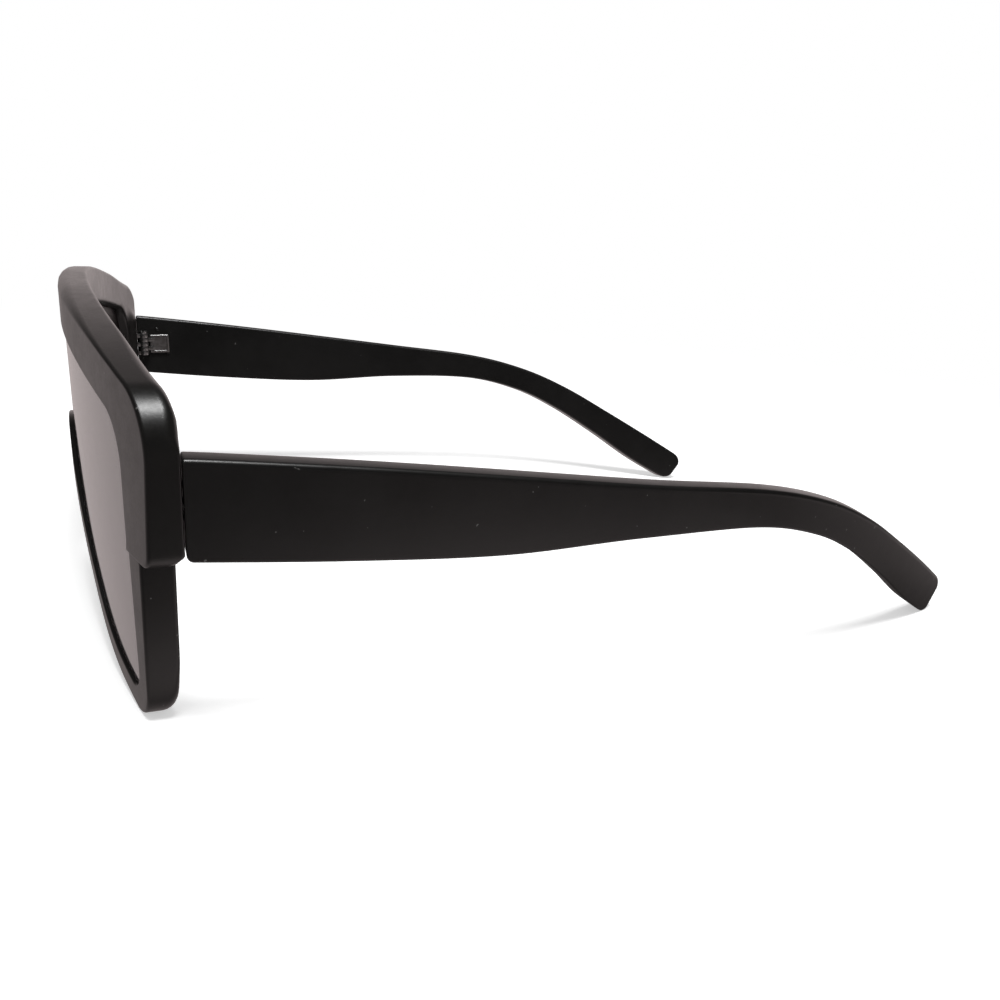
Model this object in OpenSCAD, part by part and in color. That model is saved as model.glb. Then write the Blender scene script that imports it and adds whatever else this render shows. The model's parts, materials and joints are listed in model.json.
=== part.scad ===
// Flat-top shield sunglasses, standing open on a table, in millimetres.
// The lens faces -Y, the temple tips point to +Y and +Z is up.
// Every piece is drawn in the front's own upright axes, with the back of the
// end pieces at y = 0 and the lowest point of the rim near z = 0.
// The whole object is then tipped a little, so that rim and temple tips stand.

/* [Front] */
// Width over the end pieces, at the height of the hinges
front_w = 139.6; // [130:0.2:150]
// Height at which the brow's sloping top edges meet the sides
shoulder_z = 42; // [41:0.2:46]
// Fall of the brow's top edge towards its corners, in degrees
brow_fall = 13; // [9:0.5:15]
// Radius of the brow's upper corners
brow_corner_r = 8; // [4:0.5:9]
// Height of the underside of the end pieces
endpiece_z = 21.2; // [19:0.2:24]
// Lean of the end pieces and temples, top outwards, in degrees
side_lean = 7.5; // [0:0.5:9]
// Radius of the front's curve, seen from above
front_r = 262; // [240:2:320]
// Distance of the middle of the brow ahead of the hinge plane
front_reach = 13.5; // [12:0.1:16]
// Depth of the brow from front to back
brow_t = 4.3; // [3.6:0.1:6]
// Depth of the lower rim from front to back
rim_t = 4.1; // [3.5:0.1:5]
// Step from the brow's front face back to the rim's front face
rim_step = 0.1; // [0:0.05:0.5]
// Slope of lens and rim, lower edge back, in degrees
rim_slope = 0.5; // [0:0.1:2]
// Radius of the rounded corner under each end piece
endpiece_r = 2.2; // [0.5:0.1:2.4]

/* [Rim outline] */
// Width of the lower rim, seen from the front
rim_w = 2.8; // [2:0.1:4]
// Height of the crossing of the two nose edges
nose_z = 26.4; // [23:0.1:30]
// Radius of the nose arch
nose_r = 13; // [8:0.5:16]
// Cheek corner of the rim, across and up
cheek = [26, 12]; // [1:0.5:40]
// Lower corner of the rim, across and up
chin = [46, 1.6]; // [0:0.1:60]
// Outer bottom corner of the rim, across and up
rim_foot = [63.5, -1.1]; // [-2:0.1:68]
// Outer top corner of the rim, where it runs into the end piece, across
rim_side = 65.3; // [63:0.1:67]
// Radius of the outer bottom corners
foot_r = 4.5; // [3:0.1:7]
// Half width of the lens opening
open_x = 60.6; // [56:0.2:61]
// Height at which the opening's sloping top edges meet its sides
open_shoulder_z = 38; // [35:0.2:38.4]
// Fall of the opening's top edge towards its corners, in degrees
open_fall = 10; // [6:0.5:11]
// Radius of the upper corners of the lens opening
open_corner_r = 7; // [4:0.5:9]
// Radius of the lower corners of the lens opening
open_foot_r = 3; // [2:0.1:5]

/* [Nose pads] */
// Reach of the moulded nose pads behind the rim
pad_reach = 3.6; // [1:0.1:5]
// Height of the lower end of the nose pads
pad_low = 11; // [10:0.5:14]
// Height of the upper end of the nose pads
pad_high = 25; // [20:0.5:26]

/* [Lens] */
// Thickness of the lens
lens_t = 2; // [1.4:0.1:2.2]
// Depth of the lens face behind the rim's front face
lens_recess = 0.9; // [0.6:0.1:1.2]
// Depth to which the lens edge sits in its groove
lens_seat = 0.8; // [0.4:0.1:1.2]
// Clearance of the lens in its groove
lens_gap = 0.05; // [0.02:0.01:0.1]

/* [Temples] */
// Thickness of a temple
temple_t = 3.3; // [2.8:0.1:4]
// Height of a temple at the hinge
temple_h = 13.4; // [11:0.1:14]
// Distance of the temple's middle below the hinge's middle
temple_low = 0.4; // [0:0.1:1]
// Reach of a temple behind the hinge plane
temple_reach = 138; // [125:1:150]
// Drop of the temple tip's middle below the temple's middle at the hinge
tip_drop = 36.8; // [25:0.1:42]
// Place where the temple starts to bend inwards
bend_start = 55; // [40:1:80]
// Radius of the inward bend
bend_r = 229; // [180:1:400]
// Height of the temple's tip
tip_h = 7.2; // [6:0.1:9]
// Radius of the tip's rounded corners
tip_r = 2.6; // [1:0.1:3]
// Gap between temple and end piece when open
open_gap = 0.15; // [0.1:0.05:0.4]

/* [Hinges] */
// Height of the hinge's middle
hinge_z = 29.6; // [28:0.1:31]
// Height of the stack of barrels
hinge_h = 5; // [4:0.1:7]
// Number of barrels in the stack
barrels = 5; // [3:2:5]
// Radius of the barrels
barrel_r = 1.1; // [0.9:0.05:1.3]
// Radius of the hinge screw's shank
screw_r = 0.55; // [0.4:0.05:0.65]
// Clearance of the shank in the turning barrels
screw_gap = 0.04; // [0.02:0.01:0.08]
// Gap between neighbouring barrels
barrel_gap = 0.06; // [0.03:0.01:0.1]
// Clearance from the barrels to the parts they turn past
turn_gap = 0.3; // [0.2:0.05:0.5]
// Radius of the screw's head
head_r = 0.95; // [0.7:0.05:1.1]
// Height of the screw's head
head_h = 0.6; // [0.4:0.05:0.9]
// Width of the slot in the screw's head
slot_w = 0.3; // [0.2:0.05:0.4]
// Length of the plate on the temple
plate_l = 4.3; // [3:0.1:6]
// Height of the plate on the temple
plate_h = 4.2; // [3:0.1:5]
// Height of the plate over the temple's inner face
plate_t = 0.9; // [0.5:0.1:1.2]
// Depth to which the plates are sunk into the plastic
anchor_d = 1.2; // [0.8:0.1:1.6]
// Depth of the front plate's anchor in the end piece
front_anchor = 2.6; // [1.5:0.1:3]

/* [Hidden] */

// Smoothness of the large curves and of the small round parts
curve_fn = 360;
round_fn = 48;
// Largest distance of a rounded corner's short edges from its true arc
arc_error = 0.012;
// Steps between two points of the temple's centre line
spline_steps = 6;
// Margin by which a cutting shape runs past what it cuts
past = 1;
// Margin by which the hidden edges of brow and rim lie inside the opening
lap = 3;

half_w = front_w / 2;

// Plane geometry on outlines of [across, up, corner radius], anticlockwise

function flat(p) = [p[0], p[1]];
function unit(v) = v / norm(v);
// Unit vector out of an outline, square to its edge from p to q
function out_of(p, q) = let (d = unit(flat(q) - flat(p))) [d[1], -d[0]];
function cross2(a, b) = a[0] * b[1] - a[1] * b[0];
// Height of the line through p and q at x
function line_z(p, q, x) = p[1] + (q[1] - p[1]) * (x - p[0]) / (q[0] - p[0]);

// Corner q moved out by d, between its neighbours p and s
function grown_corner(p, q, s, d) =
    let (a = out_of(p, q), b = out_of(q, s))
    let (move = (a + b) / (1 + a * b) * d)
    let (convex = cross2(flat(q) - flat(p), flat(s) - flat(q)) > 0)
    [q[0] + move[0], q[1] + move[1], q[2] + (convex ? d : -d)];

// A closed outline moved out by d
function grown(path, d) =
    let (n = len(path))
    [for (i = [0:n - 1]) grown_corner(path[(i + n - 1) % n], path[i], path[(i + 1) % n], d)];

// The points of one rounded corner q
function corner_arc(p, q, s) =
    let (u = unit(flat(p) - flat(q)), v = unit(flat(s) - flat(q)))
    let (half = acos(u * v) / 2)
    let (c = flat(q) + unit(u + v) * q[2] / sin(half))
    let (t1 = flat(q) + u * q[2] / tan(half), t2 = flat(q) + v * q[2] / tan(half))
    let (a1 = atan2(t1[1] - c[1], t1[0] - c[0]), a2 = atan2(t2[1] - c[1], t2[0] - c[0]))
    let (turn = (a2 - a1 + 540) % 360 - 180)
    let (n = max(2, ceil(abs(turn) / (2 * acos(1 - arc_error / q[2])))))
    [for (i = [0:n]) c + q[2] * [cos(a1 + turn * i / n), sin(a1 + turn * i / n)]];

// A closed outline with its corners rounded
function rounded(path) =
    let (n = len(path))
    [for (i = [0:n - 1])
        for (p = path[i][2] > 0
            ? corner_arc(path[(i + n - 1) % n], path[i], path[(i + 1) % n])
            : [flat(path[i])]) p];

// A right half outline joined to its mirror image
function both_halves(half) = concat(half,
    [for (i = [len(half) - 1:-1:0]) if (half[i][0] > 0) [-half[i][0], half[i][1], half[i][2]]]);

// Outlines of the front, seen from the front

// Line of the end piece's side, which leans out towards the top
function side_x(z) = half_w + (z - hinge_z) * tan(side_lean);
// Straight run between an arched top edge and the rounded corner beside it
arch_run = 3;
// Height at which two edges with this fall cross over the centre line
function peak_z(x, z, fall) = z + x * tan(fall);
// Radius that arches them as far as the corner of radius r, on a side with this lean
function arch_r(x, fall, r, lean) =
    (x / cos(fall) - r * tan(45 - (fall - lean) / 2) - arch_run) / tan(fall);

brow_corner = [side_x(shoulder_z), shoulder_z, brow_corner_r];
brow_peak_z = peak_z(brow_corner[0], shoulder_z, brow_fall);
crown_r = arch_r(brow_corner[0], brow_fall, brow_corner_r, side_lean);
brow_top = brow_peak_z - crown_r * (1 / cos(brow_fall) - 1);
open_peak_z = peak_z(open_x, open_shoulder_z, open_fall);
open_crown_r = arch_r(open_x, open_fall, open_corner_r, 0);

nose = [0, nose_z, nose_r];
cheek_r = 60;
chin_r = 45;
rim_top = endpiece_z + 2.4;
// The rim's lower edge from the nose to the end piece
lower_edge = [
    nose,
    [cheek[0], cheek[1], cheek_r],
    [chin[0], chin[1], chin_r],
    [rim_foot[0], rim_foot[1], foot_r],
    [rim_side, rim_top, 0]
];
mirrored_cheek = [-cheek[0], cheek[1], cheek_r];
// The same edge moved in by d, without its two upper ends
function lower_inside(d) = [
    grown_corner(mirrored_cheek, lower_edge[0], lower_edge[1], -d),
    for (i = [1:2]) grown_corner(lower_edge[i - 1], lower_edge[i], lower_edge[i + 1], -d)
];
open_low = lower_inside(rim_w);
// Point where the opening's lower edge would meet the rim's foot
open_foot = grown_corner(lower_edge[2], lower_edge[3], lower_edge[4], -rim_w);
open_half = concat(open_low, [
    [open_x, line_z(open_low[2], open_foot, open_x), open_foot_r],
    [open_x, open_shoulder_z, open_corner_r],
    [0, open_peak_z, open_crown_r]
]);
open_path = both_halves(open_half);

inner_x = open_x - lap;
brow_half = [
    [0, open_peak_z - 3 * lap, 0],
    [inner_x, open_shoulder_z - 2 * lap, 0],
    [inner_x, endpiece_z, 0],
    [side_x(endpiece_z), endpiece_z, endpiece_r],
    brow_corner,
    [0, brow_peak_z, crown_r]
];
rim_inner = lower_inside(rim_w + lap);
rim_half = concat(lower_edge, [
    [inner_x, rim_top, 0],
    [inner_x, line_z(rim_inner[1], rim_inner[2], inner_x) + 2 * lap, 0],
    [rim_inner[1][0], rim_inner[1][1], 0],
    [0, rim_inner[0][1], 0]
]);

// Surfaces of the front

// Height about which lens and rim slope, and front faces on the centre line
slope_z = 36;
brow_y = -front_reach;
rim_y = brow_y + rim_step;
lens_y = rim_y + lens_recess;

// A slab seen from the front as path, from y1 back to y2
module plate(path, y1, y2) {
    translate([0, y2, 0])
        rotate([90, 0, 0])
            linear_extrude(y2 - y1)
                polygon(rounded(path));
}

// A curved wall whose front face passes through y on the centre line
module curved_wall(y, t, slope) {
    tall = 200;
    translate([0, y, slope_z])
        rotate([slope, 0, 0])
            translate([0, front_r, -tall / 2])
                difference() {
                    cylinder(r = front_r, h = tall, $fn = curve_fn);
                    translate([0, 0, -past])
                        cylinder(r = front_r - t, h = tall + 2 * past, $fn = curve_fn);
                }
}

// The part of an outline that lies in a curved wall
module curved_plate(path, y, t, slope) {
    intersection() {
        plate(path, y - 2 * lap, 4 * lap);
        curved_wall(y, t, slope);
    }
}

// Hinges

hinge_y = barrel_r + turn_gap;
// The temple's inner face at the height of the hinge
inner_face_x = half_w - temple_t / cos(side_lean);
hinge_x = inner_face_x - barrel_r;
hinge_low = hinge_z - hinge_h / 2;
hinge_high = hinge_z + hinge_h / 2;
barrel_h = (hinge_h - (barrels - 1) * barrel_gap) / barrels;
web_t = 1.5 * barrel_r;
// Plastic left beside the front hinge plate
seat_side = 0.5;
// Inner end of the flat seat that carries the front hinge plate
seat_x = hinge_x - barrel_r - seat_side;

// Draws the left piece for side 1 and its mirror image for side -1
module on_side(side) {
    if (side > 0) children();
    else mirror([1, 0, 0]) children();
}

// The barrels of one leaf: every second one, from number first
module knuckles(first, reach_y) {
    for (i = [first:2:barrels - 1])
        translate([0, 0, hinge_low + i * (barrel_h + barrel_gap)]) {
            translate([hinge_x, hinge_y, 0])
                cylinder(r = barrel_r, h = barrel_h, $fn = round_fn);
            translate([hinge_x - web_t / 2, min(hinge_y, reach_y), 0])
                cube([web_t, abs(reach_y - hinge_y), barrel_h]);
        }
}

module screw_hole(r) {
    translate([hinge_x, hinge_y, hinge_low - past])
        cylinder(r = r, h = hinge_h + 2 * past, $fn = round_fn);
}

// The block of the front leaf, sunk into the back of the end piece
module front_anchor_block() {
    translate([hinge_x - barrel_r, -front_anchor, hinge_low])
        cube([2 * barrel_r, front_anchor, hinge_h]);
}

module front_hinge(side) {
    color([0.2, 0.2, 0.21])
        standing() on_side(side) difference() {
            union() {
                front_anchor_block();
                knuckles(0, -front_anchor / 2);
            }
            screw_hole(screw_r);
        }
}

plate_y = hinge_y + barrel_r + turn_gap;

// The plate of the temple leaf, sunk into the temple's inner face
module temple_plate_block() {
    translate([inner_face_x - plate_t, plate_y, hinge_z - plate_h / 2])
        cube([plate_t + anchor_d, plate_l, plate_h]);
}

module temple_hinge(side) {
    color([0.2, 0.2, 0.21])
        standing() on_side(side) difference() {
            union() {
                temple_plate_block();
                knuckles(1, plate_y + past);
            }
            screw_hole(screw_r + screw_gap);
        }
}

module hinge_screw(side) {
    color([0.3, 0.3, 0.31])
        standing() on_side(side) translate([hinge_x, hinge_y, 0]) difference() {
            union() {
                translate([0, 0, hinge_low])
                    cylinder(r = screw_r, h = hinge_h, $fn = round_fn);
                translate([0, 0, hinge_high])
                    cylinder(r = head_r, h = head_h, $fn = round_fn);
            }
            translate([-head_r - past, -slot_w / 2, hinge_high + head_h / 2])
                cube([2 * (head_r + past), slot_w, head_h]);
        }
}

// Front frame and lens

// The solid end of the brow, with a flat back for temple and hinge
module endpiece(side) {
    on_side(side) intersection() {
        plate(both_halves(brow_half), -front_reach, 0);
        translate([seat_x, -brow_t, endpiece_z - past])
            cube([half_w, brow_t, temple_h + 2 * past]);
        translate([0, brow_y, -past])
            translate([0, front_r, 0])
                cylinder(r = front_r, h = 2 * brow_top, $fn = curve_fn);
    }
}

// The pads that rest on the nose: the rim's two nose edges, bulging backwards
module nose_pads() {
    half = (pad_high - pad_low) / 2;
    pad_z = pad_low + half;
    pad_r = (half ^ 2 + pad_reach ^ 2) / (2 * pad_reach);
    side = (nose_z - pad_z) / (nose_z - cheek[1]) * cheek[0];
    back = front_y(side, pad_z) + rim_t + pad_reach;
    intersection() {
        curved_plate(both_halves(rim_half), rim_y, rim_t + 2 * pad_reach, rim_slope);
        translate([-cheek[0], back - pad_r, pad_z])
            rotate([0, 90, 0])
                cylinder(r = pad_r, h = 2 * cheek[0], $fn = curve_fn);
    }
}

module front_frame() {
    color([0.09, 0.09, 0.09])
        standing() difference() {
            union() {
                curved_plate(both_halves(brow_half), brow_y, brow_t, 0);
                curved_plate(both_halves(rim_half), rim_y, rim_t, rim_slope);
                nose_pads();
                endpiece(1);
                endpiece(-1);
            }
            plate(open_path, -2 * front_reach, front_reach);
            curved_plate(grown(open_path, lens_seat + lens_gap), lens_y - lens_gap,
                lens_t + 2 * lens_gap, rim_slope);
            translate([-front_w, 0, -past])
                cube([2 * front_w, front_reach, 2 * brow_top]);
            for (side = [-1, 1]) on_side(side) front_anchor_block();
        }
}

module shield_lens() {
    color([0.45, 0.42, 0.43, 0.8])
        standing()
            curved_plate(grown(open_path, lens_seat), lens_y, lens_t, rim_slope);
}

// Temples

// Centre line of a temple: distance back, height over the tip's middle as a
// share of the drop, and height of the temple there
side_points = [
    [-0.05, 1.02, temple_h],
    [0.00, 1.00, temple_h],
    [0.15, 0.94, 0.97 * temple_h],
    [0.30, 0.885, 0.865 * temple_h],
    [0.45, 0.853, 0.615 * temple_h],
    [0.60, 0.80, 0.462 * temple_h],
    [0.70, 0.70, 0.44 * temple_h],
    [0.78, 0.555, 0.47 * temple_h],
    [0.86, 0.36, 0.515 * temple_h],
    [0.93, 0.175, 1.05 * tip_h],
    [1.00, 0.00, tip_h],
    [1.07, -0.175, tip_h]
];
root_z = hinge_z - temple_low;
function side_point(p) = [p[0] * temple_reach, root_z - tip_drop * (1 - p[1]), p[2]];

// A smooth curve through b and c, with a before and d after them
function smooth(a, b, c, d, t) =
    b + 0.5 * t * (c - a + t * (2 * a - 5 * b + 4 * c - d + t * (3 * (b - c) + d - a)));
last = len(side_points) - 3;
centre_line = [
    for (i = [0:last - 1])
        let (n = i == last - 1 ? spline_steps : spline_steps - 1)
        for (k = [0:n])
            smooth(side_point(side_points[i]), side_point(side_points[i + 1]),
                side_point(side_points[i + 2]), side_point(side_points[i + 3]), k / spline_steps)
];
count = len(centre_line);
function along(i) = unit(flat(centre_line[min(i + 1, count - 1)]) - flat(centre_line[max(i - 1, 0)]));
// A point of the temple's edge, above the centre line for up = 1
function edge_point(i, up) =
    let (d = along(i))
    flat(centre_line[i]) + up * centre_line[i][2] / 2 * [-d[1], d[0]];
tip = flat(centre_line[count - 1]);
tip_along = along(count - 1);
tip_up = [-tip_along[1], tip_along[0]];
function tip_corner(up, a) =
    tip - tip_r * tip_along + up * (tip_h / 2 - tip_r) * tip_up
    + tip_r * (cos(a) * up * tip_up + sin(a) * tip_along);
tip_steps = 6;
temple_side = concat(
    [[-2 * past, edge_point(0, -1)[1]]],
    [for (i = [0:count - 2]) if (norm(flat(centre_line[i]) - tip) > tip_r) edge_point(i, -1)],
    [for (i = [0:tip_steps]) tip_corner(-1, 90 * i / tip_steps)],
    [for (i = [tip_steps:-1:0]) tip_corner(1, 90 * i / tip_steps)],
    [for (i = [count - 2:-1:0]) if (norm(flat(centre_line[i]) - tip) > tip_r) edge_point(i, 1)],
    [[-2 * past, edge_point(0, 1)[1]]]
);

// Place of the temple's outer face, seen from above
bend_x = half_w - bend_r;
function outer_x(y) = y < bend_start ? half_w : bend_x + sqrt(bend_r ^ 2 - (y - bend_start) ^ 2);

// The temple's wall seen from above: straight, then bent inwards
module temple_plan() {
    tall = 4 * brow_top;
    translate([half_w - temple_t, open_gap, -tall / 2])
        cube([temple_t, bend_start - open_gap, tall]);
    intersection() {
        translate([bend_x, bend_start, -tall / 2]) difference() {
            cylinder(r = bend_r, h = tall, $fn = curve_fn);
            translate([0, 0, -past])
                cylinder(r = bend_r - temple_t, h = tall + 2 * past, $fn = curve_fn);
        }
        translate([0, bend_start, -tall / 2])
            cube([half_w + past, temple_reach, tall]);
    }
}

// The space in the temple for barrels, screw head and the front leaf's webs
module hinge_pocket() {
    pocket_h = hinge_h + head_h + 2 * turn_gap;
    translate([0, 0, hinge_low - turn_gap]) {
        translate([hinge_x, hinge_y, 0])
            cylinder(r = barrel_r + turn_gap, h = pocket_h, $fn = round_fn);
        translate([hinge_x, 0, 0])
            cube([web_t / 2 + turn_gap, hinge_y, pocket_h]);
    }
}

module temple(side) {
    color([0.07, 0.07, 0.07])
        standing() on_side(side) difference() {
            intersection() {
                translate([half_w, 0, hinge_z])
                    rotate([0, side_lean, 0])
                        translate([-half_w, 0, -hinge_z])
                            intersection() {
                                temple_plan();
                                translate([half_w + past, 0, 0])
                                    rotate([0, -90, 0])
                                        linear_extrude(half_w)
                                            polygon([for (p = temple_side) [p[1], p[0]]]);
                            }
            }
            hinge_pocket();
            temple_plate_block();
        }
}

// Standing pose

// Height and reach of a point [x, y, z] of a temple after its lean
function leaned_z(x, z) = hinge_z - (x - half_w) * sin(side_lean) + (z - hinge_z) * cos(side_lean);
foot_points = [for (p = temple_side) if (p[0] > bend_start)
    [p[0], leaned_z(outer_x(p[0]), p[1])]];
// Lowest point of the rim, on its front edge
foot_arc = corner_arc(lower_edge[2], lower_edge[3], lower_edge[4]);
function front_y(x, z) = rim_y + front_r - sqrt(front_r ^ 2 - x ^ 2) + (slope_z - z) * tan(rim_slope);
rim_points = [for (p = foot_arc) [front_y(p[0], p[1]), p[1]]];
function lowest(points, a) = min([for (p = points) p[0] * sin(a) + p[1] * cos(a)]);
// Tilt at which rim and tips stand level, found in steps
function level(a, n) = n == 0 ? a
    : level(a + atan((lowest(rim_points, a) - lowest(foot_points, a)) / temple_reach), n - 1);
stand_tilt = level(0, 6);
stand_z = -lowest(rim_points, stand_tilt);
front_end = brow_y * cos(stand_tilt) - brow_top * sin(stand_tilt);
back_end = max([for (p = foot_points) p[0] * cos(stand_tilt) - p[1] * sin(stand_tilt)]);
stand_y = -(front_end + back_end) / 2;

module standing() {
    translate([0, stand_y, stand_z])
        rotate([stand_tilt, 0, 0])
            children();
}

front_frame();
shield_lens();
temple(1);  // temple_left
temple(-1);  // temple_right
front_hinge(1);  // front_hinge_left
front_hinge(-1);  // front_hinge_right
temple_hinge(1);  // temple_hinge_left
temple_hinge(-1);  // temple_hinge_right
hinge_screw(1);  // hinge_screw_left
hinge_screw(-1);  // hinge_screw_right
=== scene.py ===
import json
from math import acos, atan2, cos, pi, radians, sin, sqrt, tan

import bmesh
import bpy
from mathutils import Matrix, Vector


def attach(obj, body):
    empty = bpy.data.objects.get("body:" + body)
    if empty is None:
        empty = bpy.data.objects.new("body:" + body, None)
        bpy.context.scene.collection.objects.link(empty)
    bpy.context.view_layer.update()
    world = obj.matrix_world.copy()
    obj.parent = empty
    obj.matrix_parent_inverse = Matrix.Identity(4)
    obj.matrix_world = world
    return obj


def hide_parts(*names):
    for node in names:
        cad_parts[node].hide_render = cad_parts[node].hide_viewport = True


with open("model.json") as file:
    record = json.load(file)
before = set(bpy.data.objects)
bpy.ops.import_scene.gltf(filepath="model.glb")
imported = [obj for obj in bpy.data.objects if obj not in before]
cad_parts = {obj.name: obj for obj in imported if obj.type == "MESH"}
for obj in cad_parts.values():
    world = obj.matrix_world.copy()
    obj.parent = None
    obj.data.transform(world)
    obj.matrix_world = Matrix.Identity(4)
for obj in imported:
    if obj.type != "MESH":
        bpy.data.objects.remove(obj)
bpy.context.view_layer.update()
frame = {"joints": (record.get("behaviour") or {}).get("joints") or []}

MM = 0.001
# Points closer than this become one
WELD = 0.001 * MM

# The front's own upright axes: across, back and up, in millimetres, with the
# back of the end pieces at back = 0. The standing glasses lean back a little.

HINGE_BACK = 1.4
HINGE_UP = 29.6
fold = frame["joints"][0]
UP = Vector(fold["axis"]).normalized()
ACROSS = Vector((1, 0, 0))
BACK = UP.cross(ACROSS)
ORIGIN = Vector((0, *fold["pos_m"][1:])) - MM * (HINGE_BACK * BACK + HINGE_UP * UP)


def placed(across, back, up):
    """The model's point for a place in the front's own axes."""
    return ORIGIN + MM * (across * ACROSS + back * BACK + up * UP)


# Modelling helpers

DRUM_SIDES = 48
SHARP_EDGE = radians(40)


def pick(piece):
    bpy.ops.object.select_all(action="DESELECT")
    piece.select_set(True)
    bpy.context.view_layer.objects.active = piece


def edit(piece):
    """Opens a piece in edit mode with all of it selected."""
    pick(piece)
    bpy.ops.object.mode_set(mode="EDIT")
    bpy.ops.mesh.select_mode(type="VERT")
    bpy.ops.mesh.select_all(action="SELECT")


def leave_edit():
    bpy.ops.object.mode_set(mode="OBJECT")


def new_piece(name):
    """Names the piece that was added last."""
    piece = bpy.context.object
    piece.name = name
    piece.data.name = name
    return piece


def skin(name, rows):
    """A closed skin over rows of points, where each row goes once round a section."""
    bpy.ops.object.select_all(action="DESELECT")
    bpy.ops.mesh.primitive_grid_add(x_subdivisions=len(rows[0]), y_subdivisions=len(rows) - 1)
    piece = new_piece(name)
    points = [placed(*point) for row in rows for point in row + row[:1]]
    for vertex, point in zip(piece.data.vertices, points):
        vertex.co = point
    edit(piece)
    bpy.ops.mesh.remove_doubles(threshold=WELD)
    bpy.ops.mesh.fill_holes(sides=0)
    bpy.ops.mesh.select_all(action="SELECT")
    bpy.ops.mesh.normals_make_consistent(inside=False)
    leave_edit()
    return piece


def block(name, low, high, rounding=0.0, steps=2):
    """A box between two corners in the front's own axes, with rounded edges."""
    bpy.ops.object.select_all(action="DESELECT")
    bpy.ops.mesh.primitive_cube_add(size=1)
    piece = new_piece(name)
    for vertex in piece.data.vertices:
        vertex.co = [low[i] + (vertex.co[i] + 0.5) * (high[i] - low[i]) for i in range(3)]
    return rounded_piece(piece, rounding, steps)


def drum(name, centre, radius, low, high, rounding=0.0, steps=2):
    """An upright cylinder at centre (across, back), with rounded ends."""
    bpy.ops.object.select_all(action="DESELECT")
    bpy.ops.mesh.primitive_cylinder_add(vertices=DRUM_SIDES, radius=radius, depth=high - low)
    piece = new_piece(name)
    for vertex in piece.data.vertices:
        vertex.co += Vector((centre[0], centre[1], (low + high) / 2))
    return rounded_piece(piece, rounding, steps)


def rounded_piece(piece, rounding, steps):
    """Rounds the sharp edges of a piece drawn in the front's axes, then puts it in its place."""
    if rounding:
        edit(piece)
        bpy.ops.mesh.select_all(action="DESELECT")
        bpy.ops.mesh.select_mode(type="EDGE")
        bpy.ops.mesh.edges_select_sharp(sharpness=SHARP_EDGE)
        bpy.ops.mesh.bevel(offset=rounding, segments=steps, affect="EDGES")
        leave_edit()
    for vertex in piece.data.vertices:
        vertex.co = placed(*vertex.co)
    return piece


def boolean(piece, other, operation):
    """Adds another piece to this one, or cuts it away, and removes the other."""
    pick(piece)
    change = piece.modifiers.new("change", "BOOLEAN")
    change.operation = operation
    change.solver = "EXACT"
    change.object = other
    bpy.ops.object.modifier_apply(modifier=change.name)
    bpy.data.objects.remove(other)
    edit(piece)
    bpy.ops.mesh.remove_doubles(threshold=WELD)
    bpy.ops.mesh.dissolve_degenerate(threshold=WELD)
    leave_edit()
    return piece


def mirrored(piece, name):
    """A mirror image of a piece, on the wearer's right."""
    pick(piece)
    bpy.ops.object.duplicate()
    other = new_piece(name)
    for vertex in other.data.vertices:
        vertex.co.x = -vertex.co.x
    edit(other)
    bpy.ops.mesh.flip_normals()
    leave_edit()
    return other


def finished(piece, body, slot, *nodes, smooth=35):
    """Smooths a piece up to an angle in degrees, and lets it stand for its CAD nodes."""
    pick(piece)
    bpy.ops.object.shade_smooth_by_angle(angle=radians(smooth))
    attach(piece, body)
    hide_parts(*nodes)
    return piece


# Outlines of the front, as (across, up, corner radius), anticlockwise from the front


def flat(corner):
    return Vector(corner[:2])


def out_of(start, end):
    """The way out of the outline on the run between two corners."""
    along = (flat(end) - flat(start)).normalized()
    return Vector((along.y, -along.x))


def grown(before, corner, after, by):
    """A corner moved out of its outline."""
    one, two = out_of(before, corner), out_of(corner, after)
    place = flat(corner) + (one + two) / (1 + one.dot(two)) * by
    turn = (flat(corner) - flat(before)).cross(flat(after) - flat(corner))
    return (place.x, place.y, corner[2] + (by if turn > 0 else -by))


def trace(corners, arcs, runs):
    """Points along an open outline, each with the way out of the outline.

    arcs and runs give the steps of each rounded corner and of each straight run.
    """
    points = []
    start = flat(corners[0])
    for i, steps in enumerate(runs):
        last = i == len(arcs)
        corner = flat(corners[i + 1])
        out = out_of(corners[i], corners[i + 1])
        radius = 0 if last else corners[i + 1][2]
        if radius:
            to_last = (flat(corners[i]) - corner).normalized()
            to_next = (flat(corners[i + 2]) - corner).normalized()
            half = acos(to_last.dot(to_next)) / 2
            centre = corner + (to_last + to_next).normalized() * (radius / sin(half))
            end = corner + to_last * (radius / tan(half))
        else:
            end = corner
        points += [(start.lerp(end, k / steps), out) for k in range(steps)]
        start = end
        if radius:
            turn = 1 if (corner - flat(corners[i])).cross(flat(corners[i + 2]) - corner) > 0 else -1
            first = atan2(end.y - centre.y, end.x - centre.x)
            sweep = turn * (pi - 2 * half)
            for k in range(arcs[i]):
                angle = first + sweep * k / arcs[i]
                ray = Vector((cos(angle), sin(angle)))
                points.append((centre + radius * ray, turn * ray))
            angle = first + sweep
            start = centre + radius * Vector((cos(angle), sin(angle)))
    return points + [(start, out)]


def both_sides(right):
    """A corner list from the right end to the middle, continued to the left end."""
    return right + [(-c[0], *c[1:]) for c in reversed(right[:-1])]


def there_and_back(steps, middle=()):
    """Step counts of one side, those of the middle, and the first ones in reverse."""
    return [*steps, *middle, *reversed(steps)]


def smoothstep(low, high, value):
    t = min(max((value - low) / (high - low), 0), 1)
    return t * t * (3 - 2 * t)


# Front frame

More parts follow.
